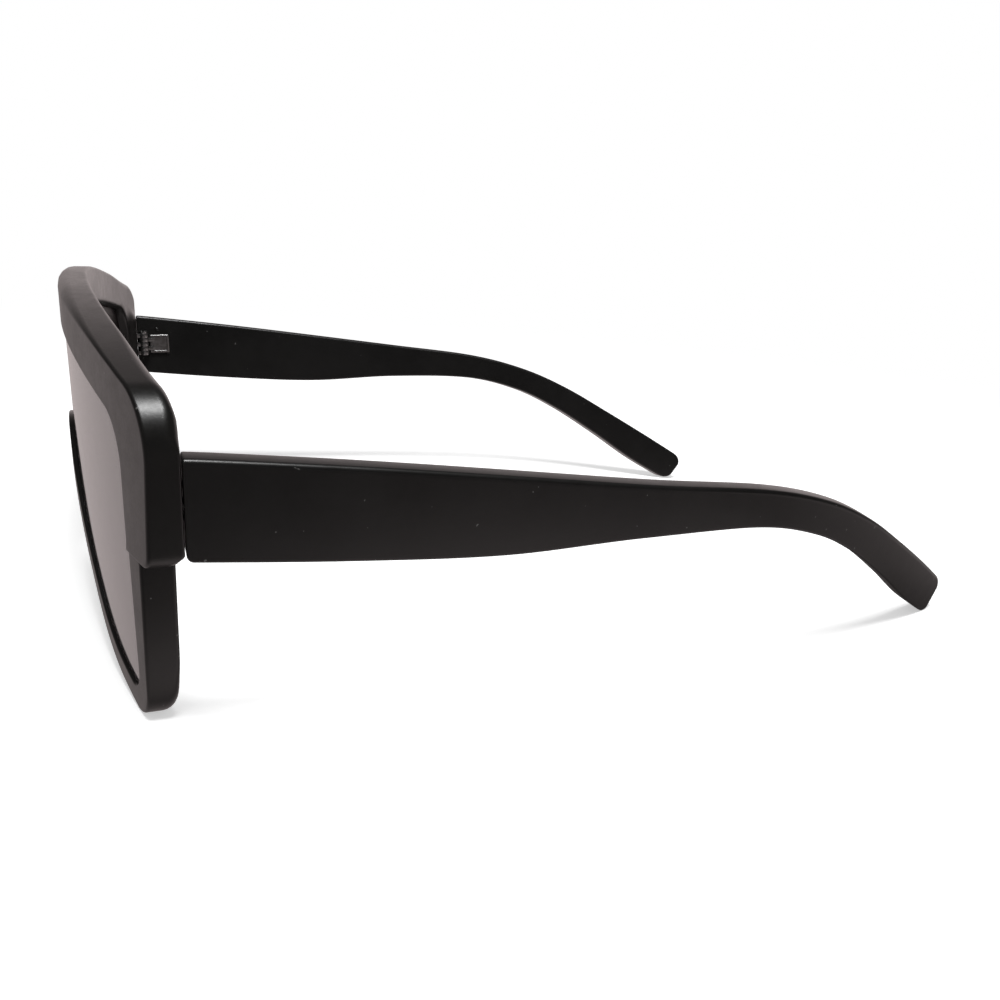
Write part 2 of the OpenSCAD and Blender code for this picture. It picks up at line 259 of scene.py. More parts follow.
HALF_WIDTH = 69.8
LEAN = radians(7.5)
SHOULDER_UP = 42
BROW_FALL = radians(13)
BROW_CORNER = 8
END_LOW = 21.9
END_CORNER = 2.2
OPEN_X = 60.6
OPEN_SHOULDER_UP = 38
OPEN_FALL = radians(10)
OPEN_CORNER = 7
ARCH_RUN = 3
FRONT_R = 262
BROW_BACK = -13.5
BROW_DEPTH = 4.3
RIM_BACK = -13.4
RIM_DEPTH = 4.1
RIM_WIDTH = 2.8
NOSE_FORWARD = 0.4
RIM_SLOPE = tan(radians(0.5))
SLOPE_UP = 36
LENS_BACK = RIM_BACK + 0.45
LENS_DEPTH = 2
LENS_PLAY = 0.05
GROOVE = 0.85
LIP_DEPTH = 1.05
# The brow is deeper over the nose, between these distances from the middle
BROW_SWELL = 0.25
SWELL_FROM, SWELL_TO = 5, 45
# Its back turns into a flat seat outside these distances and below these heights
SEAT_FROM, SEAT_TO = 61.0, 64.2
SEAT_UP, SEAT_TOP = 35.4, 38.4
# The rim stands proud over the nose, between these distances from the middle
PROUD_FROM, PROUD_TO = 2, 34
# The rim's lower outline, and how far its sides reach up into the brow
NOSE = (0, 26.4, 13)
CHEEK = (26, 12, 60)
CHIN = (46, 1.6, 45)
FOOT = (63.5, -1.1, 4.5)
OPEN_FOOT_CORNER = 3
RIM_TOP_X = 65.3
RIM_TUCK = 2.4
TUCK_STEP = 0.4
# How far above the end piece's lower edge the brow's opening starts
SILL_UP = 1.6
FRONT_EDGE_STEPS = 4
REAR_EDGE_STEPS = 6
LENS_STEPS = 40


def side_x(up):
    """Where the leaning side of the brow is at this height."""
    return HALF_WIDTH + (up - HINGE_UP) * tan(LEAN)


def peak_up(across, up, fall):
    """Where two straight shoulders would meet in the middle."""
    return up + across * tan(fall)


def arch_r(across, fall, corner, lean):
    """The radius that rounds this peak off, down to short straight runs at the shoulders."""
    corner_run = corner * tan(radians(45) - (fall - lean) / 2)
    return (across / cos(fall) - corner_run - ARCH_RUN) / tan(fall)


def curve(across, radius):
    """How far a front of this radius has swept back at this distance from the middle."""
    return FRONT_R - sqrt(radius ** 2 - across ** 2)


def slope(up):
    """How far rim and lens lean back at this height."""
    return (SLOPE_UP - up) * RIM_SLOPE


def brow_front(place):
    return BROW_BACK + curve(place.x, FRONT_R)


def brow_rear(place, share):
    """The brow's back: deeper over the nose, and a flat seat for hinge and temple at the ends."""
    across = abs(place.x)
    swell = BROW_SWELL * (1 - smoothstep(SWELL_FROM, SWELL_TO, across))
    bare = min(BROW_BACK + curve(across, FRONT_R - BROW_DEPTH), 0) + swell
    seat = smoothstep(SEAT_FROM, SEAT_TO, across) * (1 - smoothstep(SEAT_UP, SEAT_TOP, place.y))
    return bare * (1 - seat)


def rim_front(place):
    """The rim's front face, which stands proud over the nose."""
    proud = NOSE_FORWARD * (1 - smoothstep(PROUD_FROM, PROUD_TO, abs(place.x)))
    return RIM_BACK + curve(place.x, FRONT_R) + slope(place.y) - proud


PAD_UP = 18
PAD_HALF = 7.6
PAD_REACH = 3.6
PAD_ACROSS = 30


def pad(place):
    """How far the nose pad stands out at the height of a point of the rim."""
    away = (place.y - PAD_UP) / PAD_HALF
    if abs(place.x) > PAD_ACROSS or abs(away) > 1:
        return 0
    return PAD_REACH * (1 - away ** 2) ** 1.5


def rim_rear(place, share):
    """The rim's back with its nose pads. share is 0 at the outer edge and 1 at the opening."""
    bare = RIM_BACK + curve(place.x, FRONT_R - RIM_DEPTH) + slope(place.y)
    return bare + pad(place) * (1 - smoothstep(0.35, 1.0, share))


def lens_front(place):
    return LENS_BACK + curve(place.x, FRONT_R) + slope(place.y)


def lens_rear(place):
    return LENS_BACK + curve(place.x, FRONT_R - LENS_DEPTH) + slope(place.y)


SUPPORT = 0.12


def crossing(start, end, steps):
    """Points from start to end, with one close to each end to hold the flat between."""
    length = (end - start).length
    near = min(SUPPORT / max(length, 0.01), 0.2)
    shares = [0, near] + [near + (1 - 2 * near) * k / steps for k in range(1, steps)] + [1 - near, 1]
    return [start.lerp(end, share) for share in shares]


def quarter(radius, steps, first=0, deep=None):
    """Insets along the face and in depth of a rounded edge, from the face to the wall."""
    angles = [radians(90) * k / steps for k in range(first, steps + 1)]
    return [(radius * (1 - sin(a)), (deep or radius) * (1 - cos(a))) for a in angles]


def band_row(outer, inner, front, rear, radii, wall_steps=2, face_steps=(5, 12)):
    """A section of the front, from its outer edge to the opening and back."""
    (edge, out), (sill, away) = outer, inner
    outer_front, outer_rear, inner_front, inner_rear = radii
    row = []

    def add(place, back):
        row.append((place.x, back, place.y))

    for place in crossing(sill + away * inner_front, edge - out * outer_front, face_steps[0]):
        add(place, front(place))
    for inset, depth in quarter(outer_front, FRONT_EDGE_STEPS, 1):
        place = edge - out * inset
        add(place, front(place) + depth)
    start, end = front(edge) + outer_front, rear(edge, 0) - outer_rear
    near = min(SUPPORT, (end - start) / 5)
    for k in range(wall_steps + 1):
        add(edge, start + near + (end - start - 2 * near) * k / wall_steps)
    for inset, depth in reversed(quarter(outer_rear, REAR_EDGE_STEPS)):
        place = edge - out * inset
        add(place, rear(place, 0) - depth)
    places = crossing(edge - out * outer_rear, sill + away * inner_rear, face_steps[1])
    for k, place in enumerate(places[1:]):
        add(place, rear(place, (k + 1) / (len(places) - 1)))
    for inset, depth in quarter(inner_rear, REAR_EDGE_STEPS, 1, min(inner_rear, LIP_DEPTH)):
        place = sill + away * inset
        add(place, rear(place, 1) - depth)
    groove = sill + away * GROOVE
    add(sill, lens_rear(sill) + LENS_PLAY)
    add(groove, lens_rear(groove) + LENS_PLAY)
    add(groove, lens_front(groove) - LENS_PLAY)
    add(sill, lens_front(sill) - LENS_PLAY)
    for inset, depth in reversed(quarter(inner_front, FRONT_EDGE_STEPS, 1)):
        place = sill + away * inset
        add(place, front(place) + depth)
    return row


def brow_radii(edge, out, away):
    """Radii of a brow section: front and rear of its outer edge, then of the opening's.

    Over the nose the front edge is soft and the rear one sharp, at the corners the other way
    round. The rear edge is sharp beside the temple, and soft under the end piece.
    """
    across = abs(edge.x)
    on_top = smoothstep(0.5, 0.9, out.y)
    outer_front = 0.4 + 1.4 * on_top * (1 - smoothstep(5, 60, across))
    outer_rear = 0.6 + 0.9 * smoothstep(46, 62, across)
    at_temple = (1 - smoothstep(36.0, 38.5, edge.y)) * smoothstep(0.3, 0.9, abs(out.x))
    outer_rear += (0.3 - outer_rear) * at_temple
    underneath = smoothstep(0.2, 0.9, -out.y)
    outer_rear += (1.8 - outer_rear) * underneath
    inner_front = 0.3
    inner_rear = 0.45 + 1.15 * smoothstep(0.2, 0.9, away.y)
    return outer_front, outer_rear, inner_front, inner_rear


def make_brow():
    """The brow band with its end pieces, and the outline of the opening below it."""
    shoulder = (side_x(SHOULDER_UP), SHOULDER_UP, BROW_CORNER)
    crown_r = arch_r(shoulder[0], BROW_FALL, BROW_CORNER, LEAN)
    crown = (0, peak_up(*shoulder[:2], BROW_FALL), crown_r)
    outer = trace(
        both_sides([(OPEN_X, END_LOW), (side_x(END_LOW), END_LOW, END_CORNER), shoulder, crown]),
        there_and_back([8, 20], [64]), there_and_back([6, 18, 2]))
    start_up = END_LOW + SILL_UP
    open_shoulder = (OPEN_X, OPEN_SHOULDER_UP, OPEN_CORNER)
    open_r = arch_r(OPEN_X, OPEN_FALL, OPEN_CORNER, 0)
    open_crown = (0, peak_up(OPEN_X, OPEN_SHOULDER_UP, OPEN_FALL), open_r)
    inner = trace(
        both_sides([(OPEN_X, start_up), (OPEN_X, start_up + SILL_UP, 0), open_shoulder, open_crown]),
        there_and_back([0, 20], [64]), there_and_back([14, 18, 2]))
    rows = [band_row(outside, opening, brow_front, brow_rear, brow_radii(*outside, opening[1]))
            for outside, opening in zip(outer, inner)]
    return skin("brow", rows), inner


def rim_radii(edge):
    """Radii of a rim section, as for the brow: soft on the pads and at the low rear corners."""
    on_pad = pad(edge) / PAD_REACH
    low_corner = smoothstep(50, 60, abs(edge.x)) * (1 - smoothstep(0, 9, edge.y))
    outer_front, inner_front, inner_rear = 0.35, 0.25, 0.3
    outer_rear = 0.5 + 0.7 * on_pad + 1.5 * low_corner
    return outer_front, outer_rear, inner_front, inner_rear


def make_rim():
    """The rim below the end pieces, and the outline of the opening above it."""
    top = (RIM_TOP_X, END_LOW + RIM_TUCK, 0)
    joint_x = FOOT[0] + (top[0] - FOOT[0]) * (END_LOW - FOOT[1]) / (top[1] - FOOT[1])
    arcs, runs = there_and_back([0, 14, 10, 10], [30]), there_and_back([3, 14, 6, 4, 16])
    outer_left = [(-c[0], *c[1:]) for c in (top, (joint_x, END_LOW, 0), FOOT, CHIN, CHEEK)]
    outer = trace(both_sides(outer_left + [NOSE]), arcs, runs)
    far_cheek = (-CHEEK[0], *CHEEK[1:])
    inner_nose = grown(far_cheek, NOSE, CHEEK, -RIM_WIDTH)
    inner_cheek = grown(NOSE, CHEEK, CHIN, -RIM_WIDTH)
    inner_chin = grown(CHEEK, CHIN, FOOT, -RIM_WIDTH)
    inner_foot = grown(CHIN, FOOT, top, -RIM_WIDTH)
    run, rise = inner_foot[0] - inner_chin[0], inner_foot[1] - inner_chin[1]
    foot_up = inner_chin[1] + rise * (OPEN_X - inner_chin[0]) / run
    inner_right = [(OPEN_X + TUCK_STEP, END_LOW + RIM_TUCK, 0), (OPEN_X, END_LOW - 0.1, 0),
                   (OPEN_X, foot_up, OPEN_FOOT_CORNER), inner_chin, inner_cheek]
    inner_left = [(-c[0], *c[1:]) for c in inner_right]
    inner = trace(both_sides(inner_left + [inner_nose]), arcs, runs)
    rows = [band_row(outside, opening, rim_front, rim_rear, rim_radii(outside[0]),
                     wall_steps=5, face_steps=(3, 6))
            for outside, opening in zip(outer, inner)]
    return skin("rim", rows), inner


def height_at(edge, along):
    """The height of an edge, given from left to right, at one place along it."""
    k = next(i for i in range(1, len(edge)) if edge[i].x >= along)
    before, after = edge[k - 1], edge[k]
    return before.lerp(after, (along - before.x) / (after.x - before.x)).y


def make_lens(over, under):
    """The pane, which reaches into the groove on every side."""
    reach = GROOVE - LENS_PLAY
    tops = [place + away * reach for place, away in reversed(over) if away.y > 0.001]
    bottoms = [place + away * reach for place, away in under if away.y < -0.001]
    half = min(tops[-1].x, bottoms[-1].x) - 0.001
    rows = []
    for k in range(-LENS_STEPS, LENS_STEPS + 1):
        across = half * sin(radians(90) * k / LENS_STEPS)
        low = Vector((across, height_at(bottoms, across)))
        places = crossing(low, Vector((across, height_at(tops, across))), 14)
        rows.append([(place.x, lens_front(place), place.y) for place in places]
                    + [(place.x, lens_rear(place), place.y) for place in reversed(places)])
    return skin("lens_pane", rows)


def make_front():
    """The frame in one moulding, and the lens."""
    brow, over = make_brow()
    rim, under = make_rim()
    front = boolean(brow, rim, "UNION")
    front.name = "frame_front"
    return (finished(front, "front", "frame_plastic", "front_frame"),
            finished(make_lens(over, under), "front", "lens", "shield_lens"))


front, lens = make_front()

# Temples

TEMPLE_T = 3.3
TEMPLE_H = 13.15
TEMPLE_LOW = 0.4
REACH = 138
DROP = 36.8
BEND_START = 55
BEND_R = 229
TIP_H = 7.2
TIP_CORNER = 2.6
GAP = 0.15
TOP_EDGE = 0.7
LOW_EDGE = 0.35
# Roundings of the front end at its top, bottom and sides, and of the tip's sides
END_TOP_R = 0.3
END_LOW_R = 0.8
END_SIDE_R = 0.2
TIP_SIDE_R = 0.6
END_STEPS = (0, 0.03, 0.1, 0.2, 0.33, 0.5, 0.7, 0.95, 1.2)
TIP_STEPS = 12
ARM_FACE_STEPS = 6
ARM_EDGE_STEPS = 5
# Distance back, height over the tip as a share of the drop, and height of the arm there
ARM = [
    (-0.05, 1.02, TEMPLE_H), (0.00, 1.00, TEMPLE_H), (0.15, 0.94, 0.97 * TEMPLE_H),
    (0.30, 0.885, 0.865 * TEMPLE_H), (0.45, 0.853, 0.615 * TEMPLE_H), (0.60, 0.80, 0.462 * TEMPLE_H),
    (0.70, 0.70, 0.44 * TEMPLE_H), (0.78, 0.555, 0.47 * TEMPLE_H), (0.86, 0.36, 0.515 * TEMPLE_H),
    (0.93, 0.175, 1.05 * TIP_H), (1.00, 0.00, TIP_H), (1.07, -0.175, TIP_H)]


def arm_line(steps):
    """Centre line of a temple seen from the side, as (back, up, height of the arm)."""
    points = [Vector((REACH * b, HINGE_UP - TEMPLE_LOW - DROP * (1 - u), h)) for b, u, h in ARM]
    line = []
    for i in range(len(points) - 3):
        a, b, c, d = points[i:i + 4]
        for k in range(steps):
            t = k / steps
            bend = 2 * a - 5 * b + 4 * c - d + t * (3 * (b - c) + d - a)
            line.append(b + 0.5 * t * (c - a + t * bend))
    return line + [points[-2]]


def arm_outer(back):
    """The outer face of the upright temple, which bends in behind its straight part."""
    if back < BEND_START:
        return HALF_WIDTH
    return HALF_WIDTH - BEND_R + sqrt(BEND_R ** 2 - (back - BEND_START) ** 2)


def arm_inner(back):
    if back < BEND_START:
        return HALF_WIDTH - TEMPLE_T
    return HALF_WIDTH - BEND_R + sqrt((BEND_R - TEMPLE_T) ** 2 - (back - BEND_START) ** 2)


def leaned(across, back, up):
    """A point of the upright temple after its lean outwards."""
    x, z = across - HALF_WIDTH, up - HINGE_UP
    return (HALF_WIDTH + x * cos(LEAN) + z * sin(LEAN),
            back,
            HINGE_UP - x * sin(LEAN) + z * cos(LEAN))


def roundness(radius, distance):
    """How far a rounded corner has drawn in at this distance from the end."""
    return radius - sqrt(radius ** 2 - (radius - distance) ** 2) if distance < radius else 0


def arm_row(top, bottom, thinner=0):
    """A section of a temple between its top and bottom points, seen from the side."""
    down = (bottom - top).normalized()
    top_edge, low_edge = TOP_EDGE - 0.6 * thinner, LOW_EDGE - 0.3 * thinner
    row = []

    def add(place, across):
        row.append(leaned(across, place.x, place.y))

    low_corner = quarter(low_edge, ARM_EDGE_STEPS, 1)
    top_corner = quarter(top_edge, ARM_EDGE_STEPS, 1)
    high, low = top + down * top_edge, bottom - down * low_edge
    for place in crossing(high, low, ARM_FACE_STEPS):
        add(place, arm_outer(place.x) - thinner)
    for inset, depth in low_corner:
        place = bottom - down * inset
        add(place, arm_outer(place.x) - thinner - depth)
    for inset, depth in reversed(low_corner):
        place = bottom - down * inset
        add(place, arm_inner(place.x) + thinner + depth)
    for place in crossing(low, high, ARM_FACE_STEPS):
        add(place, arm_inner(place.x) + thinner)
    for inset, depth in top_corner:
        place = top + down * inset
        add(place, arm_inner(place.x) + thinner + depth)
    for inset, depth in reversed(top_corner):
        place = top + down * inset
        add(place, arm_outer(place.x) - thinner - depth)
    return row


def make_arm():
    """The left temple without its hinge pocket."""
    line = arm_line(10)
    tops, bottoms = [], []
    for i, point in enumerate(line):
        along = (line[min(i + 1, len(line) - 1)] - line[max(i - 1, 0)]).to_2d().normalized()
        rise = Vector((-along.y, along.x))
        tops.append(point.to_2d() + rise * point.z / 2)
        bottoms.append(point.to_2d() - rise * point.z / 2)
    tip, tip_along, tip_rise = line[-1].to_2d(), along, rise
    tops[0].x = bottoms[0].x = 0
    rows = []
    for distance in END_STEPS:
        back = GAP + distance
        top = Vector((back, height_at(tops, back) - roundness(END_TOP_R, distance)))
        bottom = Vector((back, height_at(bottoms, back) + roundness(END_LOW_R, distance)))
        rows.append(arm_row(top, bottom, roundness(END_SIDE_R, distance)))
    for top, bottom in zip(tops, bottoms):
        middle = (top + bottom) / 2
        if middle.x > 2 and (middle - tip).length > TIP_CORNER + 0.4:
            rows.append(arm_row(top, bottom))
    for k in range(TIP_STEPS, -1, -1):
        distance = TIP_CORNER * (1 - cos(radians(90) * k / TIP_STEPS))
        half = TIP_H / 2 - roundness(TIP_CORNER, distance)
        middle = tip - tip_along * distance
        rows.append(arm_row(middle + tip_rise * half, middle - tip_rise * half,
                            roundness(TIP_SIDE_R, distance)))
    return skin("arm", rows)


HINGE_X = HALF_WIDTH - TEMPLE_T / cos(LEAN) - 1.1
HINGE_LOW = 27.1
HINGE_HIGH = 32.1
BARREL_R = 1.1
BARREL_H = 0.952
BARREL_PITCH = 1.012
BARREL_EDGE = 0.09
SHANK_R = 0.55
TURN_GAP = 0.3
PLATE_BACK = 2.8
PLATE_END = 7.1
PLATE_LOW = 27.5
PLATE_HIGH = 31.7
PLATE_DEPTH = 2.1
PLATE_IN = 0.9
PLATE_BORDER = 0.42
PLATE_STEP = 0.12
PLATE_EDGE = 0.16
LEAF_DEPTH = 2.6
LEAF_EDGE = 0.1
WEB_EDGE = 0.06
WEB_IN = 0.03
BORE_PLAY = 0.04
HEAD_R = 0.95
HEAD_H = 0.6
HEAD_EDGE = 0.14
SLOT_UP = 0.3
SLOT_HALF = 0.15
AXLE = (HINGE_X, HINGE_BACK)
# Where the beads of plastic beside a hinge plate lie (back, up), and their size
BEADS = (((4.6, 32.5), (0.3, 0.55, 0.4)), ((6.7, 26.9), (0.3, 0.45, 0.35)))


def bead(name, centre, size):
    """A bead of plastic, left where the hinge plate was pressed in hot."""
    bpy.ops.object.select_all(action="DESELECT")
    bpy.ops.mesh.primitive_uv_sphere_add(segments=20, ring_count=12, radius=1)
    piece = new_piece(name)
    for vertex in piece.data.vertices:
        vertex.co = placed(*(c + v * s for c, v, s in zip(centre, vertex.co, size)))
    return piece


def make_temples():
    arm = make_arm()
    for place, size in BEADS:
        arm = boolean(arm, bead("bead", leaned(HALF_WIDTH - TEMPLE_T, *place), size), "UNION")
    low, high = HINGE_LOW - TURN_GAP, HINGE_HIGH + HEAD_H + TURN_GAP
    arm = boolean(arm, drum("pocket", AXLE, BARREL_R + TURN_GAP, low, high), "DIFFERENCE")
    arm.name = "arm_left"
    other = mirrored(arm, "arm_right")
    return (finished(arm, "temple_left", "temple_plastic", "temple_left"),
            finished(other, "temple_right", "temple_plastic", "temple_right"))


# Hinges


def knuckle(number, web_low, web_high, bore):
    """One barrel of a leaf with its web, bored for the screw."""
    low = HINGE_LOW + number * BARREL_PITCH
    barrel = drum("barrel", AXLE, BARREL_R, low, low + BARREL_H, BARREL_EDGE)
    web = block("web", (*web_low, low + WEB_IN), (*web_high, low + BARREL_H - WEB_IN), WEB_EDGE)
    barrel = boolean(barrel, web, "UNION")
    return boolean(barrel, drum("bore", AXLE, bore, low - 1, low + 2), "DIFFERENCE")


def make_front_leaf():
    leaf = block("leaf", (HINGE_X - BARREL_R, -LEAF_DEPTH, HINGE_LOW),
                 (HINGE_X + BARREL_R, -0.01, HINGE_HIGH), LEAF_EDGE)
    for number in (0, 2, 4):
        web = knuckle(number, (HINGE_X - 0.8, -1.3), (HINGE_X + 0.8, HINGE_BACK), SHANK_R)
        leaf = boolean(leaf, web, "UNION")
    return leaf


def make_temple_leaf():
    """The plate on the temple with its sunk middle, and two barrels."""
    face = HINGE_X + BARREL_R - PLATE_IN
    plate = block("plate", (face, PLATE_BACK, PLATE_LOW), (face + PLATE_DEPTH, PLATE_END, PLATE_HIGH))
    edit(plate)
    bpy.ops.mesh.select_mode(type="FACE")
    bpy.ops.mesh.select_all(action="DESELECT")
    mesh = bmesh.from_edit_mesh(plate.data)
    for piece_face in mesh.faces:
        piece_face.select = piece_face.normal.x < -0.9
    mesh.select_flush_mode()
    bmesh.update_edit_mesh(plate.data)
    bpy.ops.mesh.inset(thickness=PLATE_BORDER * MM, depth=0)
    bpy.ops.mesh.inset(thickness=0.1 * MM, depth=-PLATE_STEP * MM)
    bpy.ops.mesh.select_all(action="DESELECT")
    bpy.ops.mesh.select_mode(type="EDGE")
    bpy.ops.mesh.edges_select_sharp(sharpness=radians(60))
    bpy.ops.mesh.bevel(offset=PLATE_EDGE * MM, segments=3, affect="EDGES")
    leave_edit()
    for number in (1, 3):
        web = knuckle(number, (HINGE_X - 0.1, HINGE_BACK), (HINGE_X + 0.9, PLATE_BACK + 1),
                      SHANK_R + BORE_PLAY)
        plate = boolean(plate, web, "UNION")
    return plate


def make_screw():
    screw = drum("screw", AXLE, SHANK_R, HINGE_LOW, HINGE_HIGH + 0.1)
    head = drum("head", AXLE, HEAD_R, HINGE_HIGH, HINGE_HIGH + HEAD_H, HEAD_EDGE, 3)
    screw = boolean(screw, head, "UNION")
    slot = block("slot", (HINGE_X - 2, HINGE_BACK - SLOT_HALF, HINGE_HIGH + SLOT_UP),
                 (HINGE_X + 2, HINGE_BACK + SLOT_HALF, HINGE_HIGH + 2))
    return boolean(screw, slot, "DIFFERENCE")


def make_hinges():
    """Leaves and screws of both hinges."""
    pieces = []
    for make, name, node, bodies, slot in (
            (make_front_leaf, "leaf_front", "front_hinge", ("front", "front"), "hinge_metal"),
            (make_temple_leaf, "leaf_temple", "temple_hinge",
             ("temple_left", "temple_right"), "hinge_metal"),
            (make_screw, "screw", "hinge_screw", ("front", "front"), "screw_metal")):
        left = make()
        left.name = name + "_left"
        right = mirrored(left, name + "_right")
        pieces.append(finished(left, bodies[0], slot, node + "_left", smooth=30))
        pieces.append(finished(right, bodies[1], slot, node + "_right", smooth=30))
    return pieces


temples = make_temples()
leaves = make_hinges()

# Finishes


class Wire:
    """An output of a node. Arithmetic on it adds Math nodes."""

    def __init__(self, tree, socket=None):
        self.tree = tree
        self.socket = socket

    def node(self, kind, settings=(), sockets=(), out=0):
        """Adds a node: its settings first, then the values or links of its sockets."""
        node = self.tree.nodes.new(kind)
        for name, value in dict(settings).items():
            setattr(node, name, value)
        for name, value in dict(sockets).items():
            if isinstance(value, Wire):
                self.tree.links.new(value.socket, node.inputs[name])
            else:
                node.inputs[name].default_value = value
        return Wire(self.tree, node.outputs[out] if node.outputs else None)

    def maths(self, operation, one, two=0.0):
        return self.node("ShaderNodeMath", {"operation": operation}, {0: one, 1: two})

    def __add__(self, other):
        return self.maths("ADD", self, other)

    def __sub__(self, other):
        return self.maths("SUBTRACT", self, other)

    def __rsub__(self, other):
        return self.maths("SUBTRACT", other, self)

    def __mul__(self, other):
        return self.maths("MULTIPLY", self, other)

    __radd__ = __add__
    __rmul__ = __mul__

    def axis(self, name):
        """One axis of a vector."""
        return self.node("ShaderNodeSeparateXYZ", (), {"Vector": self}, out=name)

    def step(self, low, high):
        """0 below low, 1 above high and smooth between."""
        return self.node("ShaderNodeMapRange", {"interpolation_type": "SMOOTHSTEP"},
                         {"Value": self, "From Min": low, "From Max": high})

    def noise(self, place, scale, detail=2.0, rough=0.5):
        return self.node("ShaderNodeTexNoise", (), {
            "Vector": place, "Scale": scale, "Detail": detail, "Roughness": rough})

    def mix(self, share, one, two):
        """A mix of two colours."""
        return self.node("ShaderNodeMix", {"data_type": "RGBA"}, {0: share, 6: one, 7: two}, out=2)


def grey(value, warm):
    return (value * (1 + warm), value, value * (1 - warm), 1)


def finish(name):
    """A new material, and a wire to build its nodes from."""
    made = bpy.data.materials.new(name)
    made.use_nodes = True
    made.node_tree.nodes.clear()
    return made, Wire(made.node_tree)


def coat(wire, sockets):
    """Ends a material in a Principled shader."""
    shader = wire.node("ShaderNodeBsdfPrincipled", (), sockets)
    wire.node("ShaderNodeOutputMaterial", (), {"Surface": shader})


def satin_plastic(name, shade, warm, rough):
    """Moulded black plastic: satin grain, cloudy gloss, rubbed edges and a little dust."""
    made, wire = finish(name)
    place = wire.node("ShaderNodeTexCoord", out="Object")
    cloud = wire.noise(place, 70, 3)
    flow = wire.noise(place, 420, 4, 0.6)
    grain = wire.noise(place, 2600, 3, 0.6)
    fleck = wire.noise(place, 1500, 0).step(0.86, 0.88)
    edge = wire.node("ShaderNodeNewGeometry", out="Pointiness").step(0.515, 0.57)
    rubbed = edge * flow.step(0.35, 0.7)
    tone = wire.mix(cloud.step(0.3, 0.7), grey(shade * 0.85, warm), grey(shade * 1.25, warm))
    tone = wire.mix(rubbed * 0.6, tone, grey(shade * 3.2, warm))
    tone = wire.mix(fleck * 0.25, tone, grey(0.3, 0.02))
    gloss = rough + 0.10 * (cloud - 0.5) + 0.12 * (flow - 0.5) + 0.10 * (grain - 0.5)
    gloss = gloss - 0.08 * rubbed
    relief = wire.node("ShaderNodeBump", (), {
        "Height": grain + 0.6 * flow, "Strength": 0.35, "Distance": 0.02 * MM})
    coat(wire, {"Base Color": tone, "Roughness": gloss, "Normal": relief, "IOR": 1.45})
    return made


# Smoke tint, lightened as painted light seen through the pane: darker low and lighter high, a painted
# gradient of reflected light.
LENS_LOW = (0.075, 0.062, 0.065, 1)
LENS_HIGH = (0.10, 0.092, 0.092, 1)
# Painted shade for the lens's inner face.
LENS_INSIDE_SHADE = (0.016, 0.011, 0.011, 1)
LENS_DUST = (0.5, 0.49, 0.48, 1)


def smoke_lens(name):
    """Smoke polycarbonate with a light mirror coat outside, faint smears and dust, a painted light
    gradient lighter towards the top and painted shade on the inner face.
    """
    made, wire = finish(name)
    place = wire.node("ShaderNodeTexCoord", out="Object")
    # Lighter towards the top: a painted gradient of reflected light over the smoke tint.
    tint_and_painted_light = wire.mix(place.axis("Z").step(0.004, 0.046), LENS_LOW, LENS_HIGH)
    smear = wire.noise(place, 55, 4, 0.62).step(0.42, 0.8)
    fleck = wire.noise(place, 1700, 0).step(0.86, 0.88)
    tint_and_painted_light = wire.mix(fleck * 0.3, tint_and_painted_light, LENS_DUST)
    # The inner face gets painted shade, a darker base colour, besides losing the coat and gaining
    # roughness.
    inside = wire.node("ShaderNodeNewGeometry", out="Normal").axis("Y").step(-0.3, 0.3)
    tint_and_painted_light = wire.mix(inside, tint_and_painted_light, LENS_INSIDE_SHADE)
    coat(wire, {"Base Color": tint_and_painted_light, "Roughness": 0.08 + 0.07 * smear + 0.2 * fleck + 0.35 * inside,
                "IOR": 1.25, "Alpha": 0.95,
                "Coat Weight": 1 - inside, "Coat IOR": 1.9, "Coat Roughness": 0.06})
    return made


def plated_metal(name, shade, rough, scale):
    """Dark plated metal with fine lengthwise brushing and rubbed edges."""
    made, wire = finish(name)
    place = wire.node("ShaderNodeTexCoord", out="Object")
    along = wire.node("ShaderNodeMapping", (), {"Vector": place, "Scale": (scale, 0.08 * scale, scale)})
    brush = wire.noise(along, 1.0, 3, 0.65)
    patch = wire.noise(place, 900, 3)
    edge = wire.node("ShaderNodeNewGeometry", out="Pointiness").step(0.52, 0.60)
    tone = wire.mix(patch.step(0.35, 0.7), grey(shade * 0.8, 0.02), grey(shade * 1.2, -0.01))
    tone = wire.mix(edge * 0.7, tone, grey(min(shade * 2.4, 0.8), 0.01))
    gloss = rough + 0.16 * (brush - 0.5) - 0.06 * edge
    relief = wire.node("ShaderNodeBump", (), {
        "Height": brush, "Strength": 0.25, "Distance": 0.01 * MM})
    coat(wire, {"Base Color": tone, "Metallic": 1.0, "Roughness": gloss, "Normal": relief})
    return made


def dress(piece, material):
    if not piece.material_slots:
        piece.data.materials.append(material)
    for slot in piece.material_slots:
        slot.material = material


dress(front, satin_plastic("frame_satin", 0.0042, 0.08, 0.33))
arm_plastic = satin_plastic("temple_satin", 0.0042, 0.04, 0.33)
for temple in temples:
    dress(temple, arm_plastic)
leaf_metal = plated_metal("leaf_plated", 0.22, 0.34, 5200)
screw_metal = plated_metal("screw_plated", 0.34, 0.28, 6400)
for leaf in leaves:
    dress(leaf, screw_metal if leaf.name.startswith("screw") else leaf_metal)
dress(lens, smoke_lens("lens_smoke"))

# Stage and light

ROOM_LIGHT = 0.3
BACKDROP = (-0.92, 0.39, 0)
WARM_WHITE = (1, 0.88, 0.87, 1)
FLOOR_R = 6
LAMP_PLACE = Vector((0.25, -0.05, 0.78))
LAMP_TARGET = Vector((0, 0, 0.02))
LAMP_SIZE = 0.24
LAMP_POWER = 6.2


def seen_white(wire):
    """Two switches: 1 for the rays that see the white surroundings, and 1 for gloss alone."""
    path = wire.tree.nodes.new("ShaderNodeLightPath")
    rays = [Wire(wire.tree, path.outputs[name])
            for name in ("Is Camera Ray", "Is Glossy Ray", "Is Transmission Ray")]
    return wire.maths("MINIMUM", rays[0] + rays[1] + rays[2], 1.0), rays[1]


